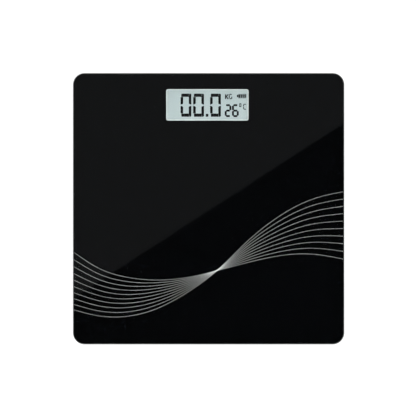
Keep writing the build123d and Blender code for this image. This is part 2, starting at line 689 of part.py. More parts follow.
def coil():
    """The spring that a cell's flat end meets."""
    rise = SPRING_L - 2 * SPRING_WIRE_R
    path = Helix(pitch=rise / SPRING_TURNS, height=rise, radius=SPRING_R)
    section = Plane(origin=path @ 0, z_dir=path % 0) * Circle(SPRING_WIRE_R)
    return Pos(0, 0, SPRING_WIRE_R - SPRING_SEAT) * sweep(section, path=path, is_frenet=True)


def solder_tab(side):
    """The tab that passes out through the end wall."""
    return block(TAB, TAB_Z, TAB_Z + CONTACT_T, at_bay(BAY_END - CONTACT_T + TAB[0] / 2, side * CELL_Y))


def contact_bridge():
    """Joins the two cells at the latch end: a spring for one and a dimple for the other."""
    return contact_plate(-1, 0, BRIDGE_W) + from_plate(coil(), -1, -1) + from_plate(dimple(), -1, 1)


def contact_positive():
    return contact_plate(1, -CELL_Y, CONTACT_W) + from_plate(dimple(), 1, -1) + solder_tab(-1)


def contact_negative():
    return contact_plate(1, CELL_Y, CONTACT_W) + from_plate(coil(), 1, 1) + solder_tab(1)


def battery_door():
    """Flat door: a hinge barrel with a pin at each end of it, and a springy tongue with a catch at the other end."""
    free_end = -DOOR[0] / 2
    below = TRAY_LOW - 1
    door = slab(DOOR, DOOR_CORNER, TRAY_LOW, DOOR_TOP, BAY_AT)
    door -= block((DOOR[0], DOOR[1] + 1), below, DOOR_TOP + 1, at_bay(HINGE_X + DOOR[0] / 2, 0))
    for side in (-1, 1):
        lug_room = (LUG[0] + 4 * DOOR_GAP, LUG[1] + 2 * DOOR_GAP)
        door -= block(lug_room, below, DOOR_TOP + 1, at_bay(HINGE_X, side * LUG_Y))
        door -= block(TONGUE_SLOT, below, DOOR_TOP + 1, at_bay(free_end + TONGUE_SLOT[0] / 2, side * TONGUE_Y))
    door += along_hinge(HINGE_R, HINGE_HALF - DOOR_GAP)
    door += along_hinge(PIN_R, HINGE_HALF + PIN_L)
    catch_x = -BAY_END + CATCH_GAP + CATCH[0] / 2
    door += block(CATCH[:2], DOOR_TOP - BURY, CATCH[2], at_bay(catch_x, 0))
    door += block((NIB[0] + CATCH_GAP, CATCH[1]), NIB[1], NIB[2], at_bay(-BAY_END + (CATCH_GAP - NIB[0]) / 2, 0))
    for step in range(RIDGES):
        ridge_x = free_end + RIDGE_PITCH * (step + 1)
        door += block(RIDGE[:2], TRAY_LOW - RIDGE[2], TRAY_LOW, at_bay(ridge_x, 0))
    return door


# --- Wires ----------------------------------------------------------------------------------------------------------
def wire(name, points):
    """A wire along straight runs joined by arcs as large as the runs allow, up to WIRE_BEND_MAX."""
    places = [Vector(*point) for point in points]
    runs = [end - start for start, end in zip(places, places[1:])]
    radii = []
    for before, after in zip(runs, runs[1:]):
        half_turn = math.radians(before.get_angle(after) / 2)
        radii.append(min(WIRE_BEND_MAX, 0.45 * min(before.length, after.length) / math.tan(half_turn)))
    print(name, "bend radii", [round(radius, 1) for radius in radii])
    path = FilletPolyline(*points, radius=radii)
    section = Plane(origin=path @ 0, z_dir=path % 0) * Circle(WIRE_R)
    return sweep(section, path=path)


def rear_wire(side_x, offset):
    """From a rear load cell across the floor to the board's end."""
    y = FOOT_AT + offset
    start = FOOT_AT - COATING_X - COATING[0] / 2
    route = [(start, WIRE_CAP_Z), (62, WIRE_CAP_Z), (56, WIRE_BOARD_Z), (40, WIRE_BOARD_Z)]
    return wire("rear sensor wire", [(side_x * x, y, z) for x, z in route])


def front_wire(side_x, offset):
    """From a front load cell along the tray's side, across behind the battery bay, and up under the board."""
    out = offset * side_x
    lane = FOOT_AT + out
    cross_y = WIRE_LANE_Y + out
    rise_x = WIRE_RISE_X + out
    start = COATING_X + COATING[0] / 2 - FOOT_AT
    route = [(lane, start, WIRE_CAP_Z), (lane, -62, WIRE_CAP_Z), (lane, -52, WIRE_FLOOR_Z)]
    route += [(lane, cross_y, WIRE_FLOOR_Z), (rise_x, cross_y, WIRE_FLOOR_Z)]
    route += [(rise_x, 70, WIRE_FLOOR_Z), (rise_x, 77, WIRE_BOARD_Z), (rise_x, BUTTON_AT[1] + 2, WIRE_BOARD_Z)]
    return wire("front sensor wire", [(side_x * x, y, z) for x, y, z in route])


def sensor_wires(offset):
    """The wires of one colour, one from each load cell."""
    return Compound([make(side, offset) for make in (rear_wire, front_wire) for side in (-1, 1)])


def battery_wire(name, side, lane_x):
    """From an end contact's tab down beside the bay and back to the board."""
    y = BAY_AT[1] + side * CELL_Y
    tab_z = TAB_Z + CONTACT_T + WIRE_R
    start_x = BAY_AT[0] + BAY_END + BAY_WALL + DOOR_GAP
    route = [(start_x, y, tab_z), (lane_x, y, tab_z), (lane_x, y + 10, WIRE_OVER_Z)]
    route += [(lane_x, BUTTON_AT[1] - 6, WIRE_OVER_Z), (lane_x, BUTTON_AT[1] + 4, WIRE_BOARD_Z)]
    return wire(name, route)


nodes = {
    "glass_platform": glass_platform(),
    "backing_film": backing_film(),
    "rim_tape": rim_tape(),
    "cap_tape_rings": cap_tape_rings(),
    "base_tray": base_tray(),
    "cap_screws": cap_screws(),
    "gauge_coatings": Compound([to_corner(gauge_coating(), corner) for corner in CORNERS]),
    "display_tape": display_tape(),
    "display_frame": display_frame(),
    "lcd_polariser": lcd_polariser(),
    "lcd_front_glass": lcd_front_glass(),
    "lcd_rear_glass": lcd_rear_glass(),
    "lcd_reflector": lcd_reflector(),
    "zebra_strip": zebra_strip(),
    "circuit_board": circuit_board(),
    "controller_blob": controller_blob(),
    "board_components": board_components(),
    "thermistor": thermistor(),
    "board_screws": board_screws(),
    "frame_screws": frame_screws(),
    "tact_switch": tact_switch(),
    "switch_plunger": switch_plunger(),
    "unit_button": unit_button(),
    "battery_hinge_end": battery(1),
    "battery_latch_end": battery(-1),
    "contact_bridge": contact_bridge(),
    "contact_positive": contact_positive(),
    "contact_negative": contact_negative(),
    "battery_door": battery_door(),
    "red_sensor_wires": sensor_wires(-WIRE_PITCH),
    "white_sensor_wires": sensor_wires(0),
    "black_sensor_wires": sensor_wires(WIRE_PITCH),
    "red_battery_wire": battery_wire("red battery wire", -1, RED_LANE_X),
    "black_battery_wire": battery_wire("black battery wire", 1, BLACK_LANE_X),
}
for corner, (_, _, _, hand) in CORNERS.items():
    nodes["load_cell_" + corner] = to_corner(load_cell(), corner)
    nodes["cell_cap_" + corner] = to_corner(cell_cap(hand), corner)
    nodes["foot_" + corner] = to_corner(foot(), corner)
    nodes["foot_pad_" + corner] = to_corner(foot_pad(), corner)

os.makedirs("parts", exist_ok=True)
for name, shape in nodes.items():
    export_step(shape, f"parts/{name}.step")
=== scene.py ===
import math

import bmesh
import bpy
import numpy as np
from mathutils import Euler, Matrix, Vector


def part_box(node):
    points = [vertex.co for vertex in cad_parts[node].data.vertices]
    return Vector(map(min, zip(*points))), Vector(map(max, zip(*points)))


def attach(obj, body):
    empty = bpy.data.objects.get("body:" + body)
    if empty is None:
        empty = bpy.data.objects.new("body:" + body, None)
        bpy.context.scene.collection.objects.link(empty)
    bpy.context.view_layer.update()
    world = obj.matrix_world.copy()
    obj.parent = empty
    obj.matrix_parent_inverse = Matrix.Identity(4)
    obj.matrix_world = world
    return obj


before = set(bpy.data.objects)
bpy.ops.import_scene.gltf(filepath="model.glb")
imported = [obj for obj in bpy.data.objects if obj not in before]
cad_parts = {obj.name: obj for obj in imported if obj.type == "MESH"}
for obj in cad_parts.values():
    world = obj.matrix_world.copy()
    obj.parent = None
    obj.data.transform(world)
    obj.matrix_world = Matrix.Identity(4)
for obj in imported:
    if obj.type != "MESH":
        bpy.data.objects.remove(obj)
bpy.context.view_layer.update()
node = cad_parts
MM = 0.001

# --- Glass platform -------------------------------------------------------------------------------------
# One square sheet of toughened float glass, 5 mm thick, with a ground and polished bevel round both faces.
# It lies on the foam tape, and is clear: the darkness of its faces comes from the print behind it, while
# its ground edge and bevels are painted near black as a painted reflection of that print.


def step(tree, kind, inputs=None, **settings):
    """Adds a node. An input is named or numbered, and given as a value or as the socket that feeds it."""
    made = tree.nodes.new(kind)
    for name, value in settings.items():
        setattr(made, name, value)
    for key, value in (inputs or {}).items():
        if isinstance(value, bpy.types.NodeSocket):
            tree.links.new(value, made.inputs[key])
        else:
            made.inputs[key].default_value = value
    return made


def new_finish(name, **shader_values):
    """A material with plain values on its Principled shader, whose sockets are named with _ for a space."""
    finish = bpy.data.materials.new(name)
    finish.use_nodes = True
    shader = finish.node_tree.nodes["Principled BSDF"]
    for socket, value in shader_values.items():
        shader.inputs[socket.replace("_", " ")].default_value = value
    return finish, finish.node_tree, shader


def dress(finish, *names):
    """Puts a finish on CAD nodes."""
    for name in names:
        slots = node[name].data.materials
        slots.clear()
        slots.append(finish)


def lets_light_through(finish):
    """Adds the mix that lets light from above fall straight through clear glass."""
    tree = finish.node_tree
    path = step(tree, "ShaderNodeLightPath")
    clear = step(tree, "ShaderNodeBsdfTransparent", {"Color": (0.93, 0.95, 0.94, 1)})
    body = tree.nodes["Principled BSDF"].outputs[0]
    mix = step(
        tree, "ShaderNodeMixShader", {0: path.outputs["Is Shadow Ray"], 1: body, 2: clear.outputs[0]}
    )
    tree.links.new(mix.outputs[0], tree.nodes["Material Output"].inputs["Surface"])


CLEAR = (0.95, 0.985, 0.97, 1)
EDGE_PAINTED_REFLECTION = (0.0004, 0.001, 0.0008, 1)  # painted reflection: the ground edge and bevels are painted near black where they would mirror the black print
POLISHED_GLOSS = 0.015
GROUND_GLOSS = 0.14
float_glass, tree, shader = new_finish(
    "float_glass", Base_Color=CLEAR, Roughness=POLISHED_GLOSS, IOR=1.52, Transmission_Weight=1.0
)
place = step(tree, "ShaderNodeTexCoord")
smear_size = step(tree, "ShaderNodeMapping", {"Vector": place.outputs["Object"], "Scale": (9, 26, 9)})
smear = step(tree, "ShaderNodeTexNoise", {"Vector": smear_size.outputs[0], "Scale": 1.0, "Detail": 3.0})
smear_bump = step(
    tree, "ShaderNodeBump", {"Strength": 0.15, "Distance": 0.02 * MM, "Height": smear.outputs["Fac"]}
)
tree.links.new(smear_bump.outputs[0], shader.inputs["Normal"])
facing = step(tree, "ShaderNodeNewGeometry")
upright = step(tree, "ShaderNodeSeparateXYZ", {0: facing.outputs["True Normal"]})
steep = step(tree, "ShaderNodeMath", {0: upright.outputs["Z"]}, operation="ABSOLUTE")
ground_edge = step(
    tree, "ShaderNodeMapRange", {"Value": steep.outputs[0], "From Min": 0.95, "From Max": 0.8}
)
# Painted reflection: the steep edge and bevel faces are painted near black, in place of the black print
# they mirror.
glass_tone = step(
    tree, "ShaderNodeMix", {"Factor": ground_edge.outputs[0], 6: CLEAR, 7: EDGE_PAINTED_REFLECTION}, data_type="RGBA"
)
glass_gloss = step(
    tree,
    "ShaderNodeMapRange",
    {"Value": ground_edge.outputs[0], "To Min": POLISHED_GLOSS, "To Max": GROUND_GLOSS},
)
tree.links.new(glass_tone.outputs[2], shader.inputs["Base Color"])
tree.links.new(glass_gloss.outputs[0], shader.inputs["Roughness"])
lets_light_through(float_glass)
dress(float_glass, "glass_platform")

# --- Printed film ---------------------------------------------------------------------------------------
# A thin film, screen printed black and laminated behind the glass, with a clear window for the display.
# Ten pale hairlines of a second ink run across it as a twisted ribbon that narrows to a point.


def new_group(name, inputs, outputs):
    """A shader node group. Inputs are names with their values, or None for a vector, and outputs are names
    with their kinds."""
    group = bpy.data.node_groups.new(name, "ShaderNodeTree")
    for socket_name, value in inputs.items():
        kind = "Vector" if value is None else "Color" if isinstance(value, tuple) else "Float"
        socket = group.interface.new_socket(
            name=socket_name, in_out="INPUT", socket_type="NodeSocket" + kind
        )
        if value is not None:
            socket.default_value = value
    for socket_name, kind in outputs.items():
        group.interface.new_socket(
            name=socket_name, in_out="OUTPUT", socket_type="NodeSocket" + kind
        )
    return group, group.nodes.new("NodeGroupInput"), group.nodes.new("NodeGroupOutput")


def use(tree, group, **values):
    """Places a shader node group, whose inputs are named with _ for a space."""
    made = tree.nodes.new("ShaderNodeGroup")
    made.node_tree = group
    for name, value in values.items():
        made.inputs[name.replace("_", " ")].default_value = value
    return made


# Drift: soft noise that takes a colour down to Darkest times itself, swings a roughness by Swing times
# itself either way, and gives a bump its Height.
drift, given, result = new_group(
    "drift",
    {
        "Place": None,
        "Scale": 300.0,
        "Detail": 2.0,
        "Colour": (0.5, 0.5, 0.5, 1),
        "Darkest": 0.8,
        "Roughness": 0.5,
        "Swing": 0.2,
    },
    {"Colour": "Color", "Roughness": "Float", "Height": "Float"},
)
noise = step(drift, "ShaderNodeTexNoise", {key: given.outputs[key] for key in ("Scale", "Detail")})
drift.links.new(given.outputs["Place"], noise.inputs["Vector"])
shade = step(
    drift, "ShaderNodeMapRange", {"Value": noise.outputs["Fac"], "To Min": given.outputs["Darkest"]}
)
dyed = step(
    drift,
    "ShaderNodeVectorMath",
    {0: given.outputs["Colour"], "Scale": shade.outputs[0]},
    operation="SCALE",
)
even = step(drift, "ShaderNodeMapRange", {"Value": noise.outputs["Fac"], "To Min": -1.0})
swung = step(
    drift,
    "ShaderNodeMath",
    {0: even.outputs[0], 1: given.outputs["Swing"], 2: 1.0},
    operation="MULTIPLY_ADD",
)
rough = step(
    drift, "ShaderNodeMath", {0: swung.outputs[0], 1: given.outputs["Roughness"]}, operation="MULTIPLY"
)
drift.links.new(dyed.outputs[0], result.inputs["Colour"])
drift.links.new(rough.outputs[0], result.inputs["Roughness"])
drift.links.new(noise.outputs["Fac"], result.inputs["Height"])


def drifting(
    name, colour, darkest, roughness, swing, scale, detail, bump=None, stretch=(1, 1, 1), **shader_values
):
    """A finish whose tone, gloss and surface drift together. bump is its strength and its height."""
    finish, tree, shader = new_finish(name, **shader_values)
    place = step(tree, "ShaderNodeTexCoord")
    stretched = step(tree, "ShaderNodeMapping", {"Vector": place.outputs["Object"], "Scale": stretch})
    drawn = use(tree, drift, Scale=scale, Detail=detail, Colour=(*colour, 1), Darkest=darkest)
    drawn.inputs["Roughness"].default_value = roughness
    drawn.inputs["Swing"].default_value = swing
    tree.links.new(stretched.outputs[0], drawn.inputs["Place"])
    tree.links.new(drawn.outputs["Colour"], shader.inputs["Base Color"])
    tree.links.new(drawn.outputs["Roughness"], shader.inputs["Roughness"])
    if bump:
        strength, height = bump
        raised = step(
            tree,
            "ShaderNodeBump",
            {"Height": drawn.outputs["Height"], "Strength": strength, "Distance": height},
        )
        tree.links.new(raised.outputs[0], shader.inputs["Normal"])
    return finish


ink_black = drifting(
    "ink_black", (0.0010, 0.0012, 0.0017), 0.6, 0.6, 0.05, 160.0, 4.0, Specular_IOR_Level=0.0
)
dress(ink_black, "backing_film")

film_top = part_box("backing_film")[1].z
film_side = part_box("backing_film")[1].x
INK_T = 0.004 * MM
INK_STEP = 0.007 * MM
LINE_WIDTH = 0.5 * MM
LINE_COUNT = 10
LINE_STEPS = 260  # places along a line
LINE_STOP = 0.2 * MM  # short of the film's edge
# The ribbon's first, middle and last lines pass through these heights at these stations, in millimetres.
STATIONS = (-130, -105, -80, -50, -20, 8, 36, 66, 98, 130)
FIRST_LINE = (-41.5, -57.5, -65.5, -68.5, -66, -59.5, -52, -45.5, -43.5, -48.5)
MIDDLE_LINE = (-71.5, -81, -84.5, -81, -72, -59, -42.5, -28, -18, -15.5)
LAST_LINE = (-97, -103, -103.5, -96, -80, -59.5, -32.5, -8.5, 8.5, 16.5)


def bent_through(heights, across):
    """Heights, at each place across, of a springy strip held at the stations and free at its ends."""
    held = np.array(STATIONS, float)
    height = np.array(heights, float)
    span = np.diff(held)
    balance = np.eye(len(held))
    load = np.zeros(len(held))
    for i in range(1, len(held) - 1):
        balance[i, i - 1:i + 2] = span[i - 1], 2 * (span[i - 1] + span[i]), span[i]
        slope_before = (height[i] - height[i - 1]) / span[i - 1]
        slope_after = (height[i + 1] - height[i]) / span[i]
        load[i] = 6 * (slope_after - slope_before)
    curl = np.linalg.solve(balance, load)
    k = np.clip(np.searchsorted(held, across) - 1, 0, len(span) - 1)
    left = across - held[k]
    right = held[k + 1] - across
    bend = (curl[k] * right**3 + curl[k + 1] * left**3) / (6 * span[k])
    from_left = (height[k] / span[k] - curl[k] * span[k] / 6) * right
    from_right = (height[k + 1] / span[k] - curl[k + 1] * span[k] / 6) * left
    return (bend + from_left + from_right) * MM


def flat_ribbon(made, xs, ys, width, low, high, layers):
    """Adds a closed, flat ribbon along a line to a bmesh, and notes how many layers of ink lie at each
    place."""
    note = made.verts.layers.float["layers"]
    slope = np.gradient(ys, xs)
    length = np.hypot(1, slope)
    side_x = -slope / length * width / 2
    side_y = 1 / length * width / 2
    rings = []
    for i in range(len(xs)):
        corners = [(1, low), (-1, low), (-1, high), (1, high)]
        ring = [made.verts.new((xs[i] + s * side_x[i], ys[i] + s * side_y[i], z)) for s, z in corners]
        for vertex in ring:
            vertex[note] = layers[i]
        if rings:
            for k in range(4):
                made.faces.new((rings[-1][k], ring[k], ring[k - 3], rings[-1][k - 3]))
        rings.append(ring)
    made.faces.new(rings[0])
    made.faces.new(rings[-1][::-1])


def new_piece(name, made, body, finish):
    """Turns a bmesh into a piece that rides on a body."""
    bmesh.ops.recalc_face_normals(made, faces=made.faces)
    mesh = bpy.data.meshes.new(name)
    made.to_mesh(mesh)
    made.free()
    piece = bpy.data.objects.new(name, mesh)
    bpy.context.scene.collection.objects.link(piece)
    mesh.materials.append(finish)
    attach(piece, body)
    return piece


# The ink is thin, so one layer is grey, and the layers add up to white where the lines run together.
INK_COVER = 0.28
INK_CHANGE = 0.15  # share of the cover, either way, that the flakes change it by
FULL_SILVER = (0.93, 0.89, 0.9, 1)
ink_silver, tree, shader = new_finish("ink_silver", Roughness=0.6, Specular_IOR_Level=0.1)
place = step(tree, "ShaderNodeTexCoord")
layer_count = step(tree, "ShaderNodeAttribute", attribute_name="layers")
flake = step(
    tree, "ShaderNodeTexNoise", {"Vector": place.outputs["Object"], "Scale": 2600.0, "Detail": 2.0}
)
bare = step(
    tree,
    "ShaderNodeMapRange",
    {
        "Value": flake.outputs["Fac"],
        "To Min": 1 - INK_COVER * (1 - INK_CHANGE),
        "To Max": 1 - INK_COVER * (1 + INK_CHANGE),
    },
)
still_bare = step(
    tree, "ShaderNodeMath", {0: bare.outputs[0], 1: layer_count.outputs["Fac"]}, operation="POWER"
)
ink_tone = step(
    tree,
    "ShaderNodeMix",
    {"Factor": still_bare.outputs[0], 6: FULL_SILVER, 7: (0.0, 0.0, 0.0, 1)},
    data_type="RGBA",
)
tree.links.new(ink_tone.outputs[2], shader.inputs["Base Color"])

across = np.linspace(LINE_STOP - film_side, film_side - LINE_STOP, LINE_STEPS)
first, middle, last = [bent_through(line, across / MM) for line in (FIRST_LINE, MIDDLE_LINE, LAST_LINE)]
share = np.linspace(0, 1, LINE_COUNT)[:, None]
heights = first * (1 - share) * (1 - 2 * share)
heights = heights + middle * 4 * share * (1 - share)
heights = heights + last * share * (2 * share - 1)
upright_width = LINE_WIDTH * np.hypot(1, np.gradient(heights, across, axis=1))
apart = np.abs(heights[:, None] - heights[None]) / upright_width
layers = np.clip(1 - apart, 0, 1).sum(axis=0)
lines = bmesh.new()
lines.verts.layers.float.new("layers")
for index in range(LINE_COUNT):
    low = film_top + INK_STEP * (index + 1)
    flat_ribbon(lines, across, heights[index], LINE_WIDTH, low, low + INK_T, layers[index])
new_piece("print_hairlines", lines, "scale", ink_silver)

# --- Display --------------------------------------------------------------------------------------------
# A reflective liquid-crystal panel: polariser, two glasses and a reflector, clipped into a pale moulded
# frame whose lip shows round it through the window. The lit characters are dark on the grey-green panel.

panel_face, tree, shader = new_finish("panel_face", Roughness=0.38, Specular_IOR_Level=0.4)
place = step(tree, "ShaderNodeTexCoord")
axes = step(tree, "ShaderNodeSeparateXYZ", {0: place.outputs["Object"]})
panel_low, panel_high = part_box("lcd_polariser")
shade = step(
    tree,
    "ShaderNodeMapRange",
    {"Value": axes.outputs["Y"], "From Min": panel_low.y, "From Max": panel_high.y},
)
cloud = step(tree, "ShaderNodeTexNoise", {"Vector": place.outputs["Object"], "Scale": 900.0, "Detail": 2.0})
grain = step(tree, "ShaderNodeMath", {0: cloud.outputs["Fac"], 1: 0.12}, operation="MULTIPLY")
blend = step(tree, "ShaderNodeMath", {0: shade.outputs[0], 1: grain.outputs[0]}, operation="ADD")
tone = step(tree, "ShaderNodeValToRGB", {"Fac": blend.outputs[0]})
tone.color_ramp.elements[0].color = (0.41, 0.458, 0.475, 1)
tone.color_ramp.elements[1].color = (0.385, 0.432, 0.45, 1)
tree.links.new(tone.outputs[0], shader.inputs["Base Color"])
dress(panel_face, "lcd_polariser", "lcd_reflector")

panel_glass, tree, shader = new_finish(
    "panel_glass", Base_Color=(0.9, 0.95, 0.95, 1), Roughness=0.02, IOR=1.5, Transmission_Weight=1.0
)
place = step(tree, "ShaderNodeTexCoord")
ripple = step(tree, "ShaderNodeTexNoise", {"Vector": place.outputs["Object"], "Scale": 40.0})
ripple_bump = step(
    tree, "ShaderNodeBump", {"Strength": 0.1, "Distance": 0.02 * MM, "Height": ripple.outputs["Fac"]}
)
tree.links.new(ripple_bump.outputs[0], shader.inputs["Normal"])
lets_light_through(panel_glass)
dress(panel_glass, "lcd_front_glass", "lcd_rear_glass")

CHARACTER_T = 0.02 * MM
panel_middle = (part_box("display_frame")[0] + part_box("display_frame")[1]) / 2
panel_top = panel_high.z


def mirrored(shapes, height):
    """The shapes, and the same turned over about half the height."""
    return shapes + [[(x, height - y) for x, y in shape] for shape in shapes]


def moved(shapes, x, y):
    return [[(x + px, y + py) for px, py in shape] for shape in shapes]


def stroke(points, weight):
    """Bars of one weight along a line of points, one for each stretch, with blunt pointed ends."""
    bars = []
    for (x0, y0), (x1, y1) in zip(points, points[1:]):
        scale = weight / 2 / math.hypot(x1 - x0, y1 - y0)
        along_x, along_y = (x1 - x0) * scale, (y1 - y0) * scale
        tip_x, tip_y = along_x * 0.6, along_y * 0.6
        start = [(x0 - along_y, y0 + along_x), (x0 - tip_x, y0 - tip_y), (x0 + along_y, y0 - along_x)]
        end = [(x1 + along_y, y1 - along_x), (x1 + tip_x, y1 + tip_y), (x1 - along_y, y1 + along_x)]
        bars.append(start + end)
    return bars


def seven_bars(lit, width, height, weight):
    """A character of seven bars, named a to g clockwise from the top, with g in the middle. Width and
    height are between the middles of its bars."""
    corners = {"tl": (0, height), "tr": (width, height), "ml": (0, height / 2), "mr": (width, height / 2)}
    corners.update({"bl": (0, 0), "br": (width, 0)})
    ends = {"a": "tl tr", "b": "tr mr", "c": "mr br", "d": "bl br", "e": "bl ml", "f": "ml tl"}
    ends["g"] = "ml mr"
    bars = []
    for bar in lit:
        (x0, y0), (x1, y1) = [corners[corner] for corner in ends[bar].split()]
        gap = weight * 0.42 / math.hypot(x1 - x0, y1 - y0)
        step_x, step_y = (x1 - x0) * gap, (y1 - y0) * gap
        bars += stroke([(x0 + step_x, y0 + step_y), (x1 - step_x, y1 - step_y)], weight)
    return bars


def raised_shapes(made, shapes, low, high):
    """Adds flat shapes, in millimetres from the panel's middle, to a bmesh as closed plates."""
    for shape in shapes:
        outline = [(panel_middle.x + x * MM, panel_middle.y + y * MM) for x, y in shape]
        bottom = [made.verts.new((x, y, low)) for x, y in outline]
        top = [made.verts.new((x, y, high)) for x, y in outline]
        made.faces.new(bottom[::-1])
        made.faces.new(top)
        for k in range(len(outline)):
            made.faces.new((bottom[k - 1], bottom[k], top[k], top[k - 1]))


# Places are in millimetres from the panel's middle.
ZERO_H = 21.85
ZERO_AT = (-25.6, -13.45, 2.8)
DIGITS_LOW = -11.2
zero_top = [(0.5, 21.3), (0.9, 22.05), (8.1, 22.05), (7.7, 18.95), (0.5, 18.95)]
zero_left = [(-0.2, 18.75), (2.3, 18.75), (2.3, 12.7), (1.8, 12.15), (0.5, 11.55), (-0.2, 11.55)]
zero_right = [(8.4, 22.05), (9.4, 22.05), (10.2, 21.2), (10.2, 11.55), (9.5, 11.55), (8.2, 12.15)]
zero_right += [(7.7, 12.7), (7.7, 19.1)]
zero = mirrored([zero_top, zero_left, zero_right], ZERO_H)
point = [[(0, 0), (2.5, 0), (2.5, 2.7), (0, 2.7)]]
segments = moved(point, -1.55, DIGITS_LOW - 0.1)
for x in ZERO_AT:
    segments += moved(zero, x, DIGITS_LOW)

# The temperature: two small digits, a degree ring and a C.
SMALL_H = 10.47
SMALL_WEIGHT = 1.9
SMALL_LOW = -10.73
degree = stroke([(0, 0), (1.3, 0), (1.3, 2.9), (0, 2.9), (0, 0)], 0.7)
segments += moved(seven_bars("abged", 4.5, SMALL_H, SMALL_WEIGHT), 17.6, SMALL_LOW)
segments += moved(seven_bars("afgedc", 4.6, SMALL_H, SMALL_WEIGHT), 24.6, SMALL_LOW)
segments += moved(degree, 31.0, -1.7)
segments += moved(seven_bars("afed", 2.5, 4.7, 0.85), 34.8, -4.1)

# The unit's two letters.
letter_k = stroke([(0.5, 0.4), (0.5, 4.5)], 1.15)
letter_k += stroke([(1.3, 2.6), (2.9, 4.6)], 1.05)
letter_k += stroke([(1.4, 2.4), (3.0, 0.3)], 1.05)
letter_g = stroke([(0.8, 4.55), (2.7, 4.55)], 0.95)
letter_g += stroke([(0.4, 1.1), (0.4, 3.9)], 0.95)
letter_g += stroke([(0.8, 0.4), (2.4, 0.4)], 0.95)
letter_g += stroke([(2.8, 0.6), (2.8, 2.2)], 1.0)
segments += moved(letter_k, 17.0, 5.5) + moved(letter_g, 20.6, 5.6)

# The battery mark: a nub, a thin outline and four bars.
MARK_AT = (29.7, 6.45)
MARK_BARS = 4
MARK_PITCH = 1.75
mark = [[(-1.3, 0.9), (0, 0.9), (0, 3.3), (-1.3, 3.3)]]
mark += stroke([(0.15, 0.15), (7.45, 0.15), (7.45, 3.95), (0.15, 3.95), (0.15, 0.15)], 0.3)
for bar in range(MARK_BARS):
    mark += moved([[(0, 0.5), (1.4, 0.5), (1.4, 3.6), (0, 3.6)]], 0.5 + MARK_PITCH * bar, 0)
segments += moved(mark, *MARK_AT)

characters = bmesh.new()
raised_shapes(characters, segments, panel_top + CHARACTER_T / 2, panel_top + CHARACTER_T * 3 / 2)
crystal_dark = drifting(
    "crystal_dark", (0.0035, 0.0035, 0.0046), 0.74, 0.6, 0.05, 300.0, 2.0, Specular_IOR_Level=0.0
)
new_piece("display_characters", characters, "scale", crystal_dark)

# --- Moulded parts --------------------------------------------------------------------------------------
# The tray, battery door, button, feet, caps and display frame are injection moulded. Their tools are spark
# eroded, which leaves a fine satin grain, and handling polishes the edges a little.


# Spark grain: Height for a bump, and Tone from 0 to 1 for small changes of colour.
spark_grain, given, result = new_group(
    "spark_grain", {"Grain per Metre": 3500.0}, {"Height": "Float", "Tone": "Float"}
)
place = step(spark_grain, "ShaderNodeTexCoord")
pits = step(
    spark_grain,
    "ShaderNodeTexVoronoi",
    {"Vector": place.outputs["Object"], "Scale": given.outputs[0]},
    feature="SMOOTH_F1",
)
patch = step(
    spark_grain, "ShaderNodeTexNoise", {"Vector": place.outputs["Object"], "Scale": 45.0, "Detail": 5.0}
)
spark_grain.links.new(pits.outputs["Distance"], result.inputs["Height"])
spark_grain.links.new(patch.outputs["Fac"], result.inputs["Tone"])

# Edge polish: Mask is 1 on outer and inner edges, within the radius, and broken up by small noise.
edge_polish, given, result = new_group("edge_polish", {"Radius": 0.7 * MM}, {"Mask": "Float"})
rounded = step(edge_polish, "ShaderNodeBevel", {"Radius": given.outputs[0]}, samples=4)
flat = step(edge_polish, "ShaderNodeNewGeometry")
turned = step(
    edge_polish,
    "ShaderNodeVectorMath",
    {0: rounded.outputs[0], 1: flat.outputs["Normal"]},
    operation="DOT_PRODUCT",
)
sharp = step(
    edge_polish,
    "ShaderNodeMapRange",
    {"Value": turned.outputs["Value"], "From Min": 0.995, "From Max": 0.8},
)
place = step(edge_polish, "ShaderNodeTexCoord")
rub = step(
    edge_polish, "ShaderNodeTexNoise", {"Vector": place.outputs["Object"], "Scale": 400.0, "Detail": 3.0}
)
broken = step(
    edge_polish, "ShaderNodeMath", {0: sharp.outputs[0], 1: rub.outputs["Fac"]}, operation="MULTIPLY"
)
edge_polish.links.new(broken.outputs[0], result.inputs["Mask"])


def moulded(name, colour, roughness, grain_per_metre=3500.0, depth=0.02 * MM):
    """Moulded plastic: even colour with slight flow tone, satin grain, and brighter, smoother edges."""
    finish, tree, shader = new_finish(name, Specular_IOR_Level=0.45)
    grain = use(tree, spark_grain, Grain_per_Metre=grain_per_metre)
    edge = use(tree, edge_polish)
    tone = step(tree, "ShaderNodeValToRGB", {"Fac": grain.outputs["Tone"]})
    tone.color_ramp.elements[0].position = 0.3
    tone.color_ramp.elements[0].color = (*[c * 0.9 for c in colour], 1)
    tone.color_ramp.elements[1].position = 0.7
    tone.color_ramp.elements[1].color = (*[c * 1.1 for c in colour], 1)
    rubbed = (*[min(1, c * 1.5 + 0.01) for c in colour], 1)
    worn = step(
        tree,
        "ShaderNodeMix",
        {"Factor": edge.outputs[0], 6: tone.outputs[0], 7: rubbed},
        data_type="RGBA",
    )
    polish = step(
        tree,
        "ShaderNodeMapRange",
        {"Value": edge.outputs[0], "To Min": roughness, "To Max": roughness * 0.65},
    )
    bump = step(
        tree, "ShaderNodeBump", {"Strength": 0.6, "Distance": depth, "Height": grain.outputs["Height"]}
    )
    tree.links.new(worn.outputs[2], shader.inputs["Base Color"])
    tree.links.new(polish.outputs[0], shader.inputs["Roughness"])
    tree.links.new(bump.outputs[0], shader.inputs["Normal"])
    return finish


dress(moulded("tray_black", (0.017, 0.017, 0.019), 0.46), "base_tray", "battery_door")
dress(moulded("frame_white", (0.62, 0.645, 0.645), 0.5, 5000.0, 0.01 * MM), "display_frame")
dress(moulded("button_grey", (0.13, 0.135, 0.145), 0.38, 6000.0, 0.01 * MM), "unit_button")
dress(moulded("switch_black", (0.02, 0.02, 0.02), 0.5), "tact_switch", "switch_plunger")

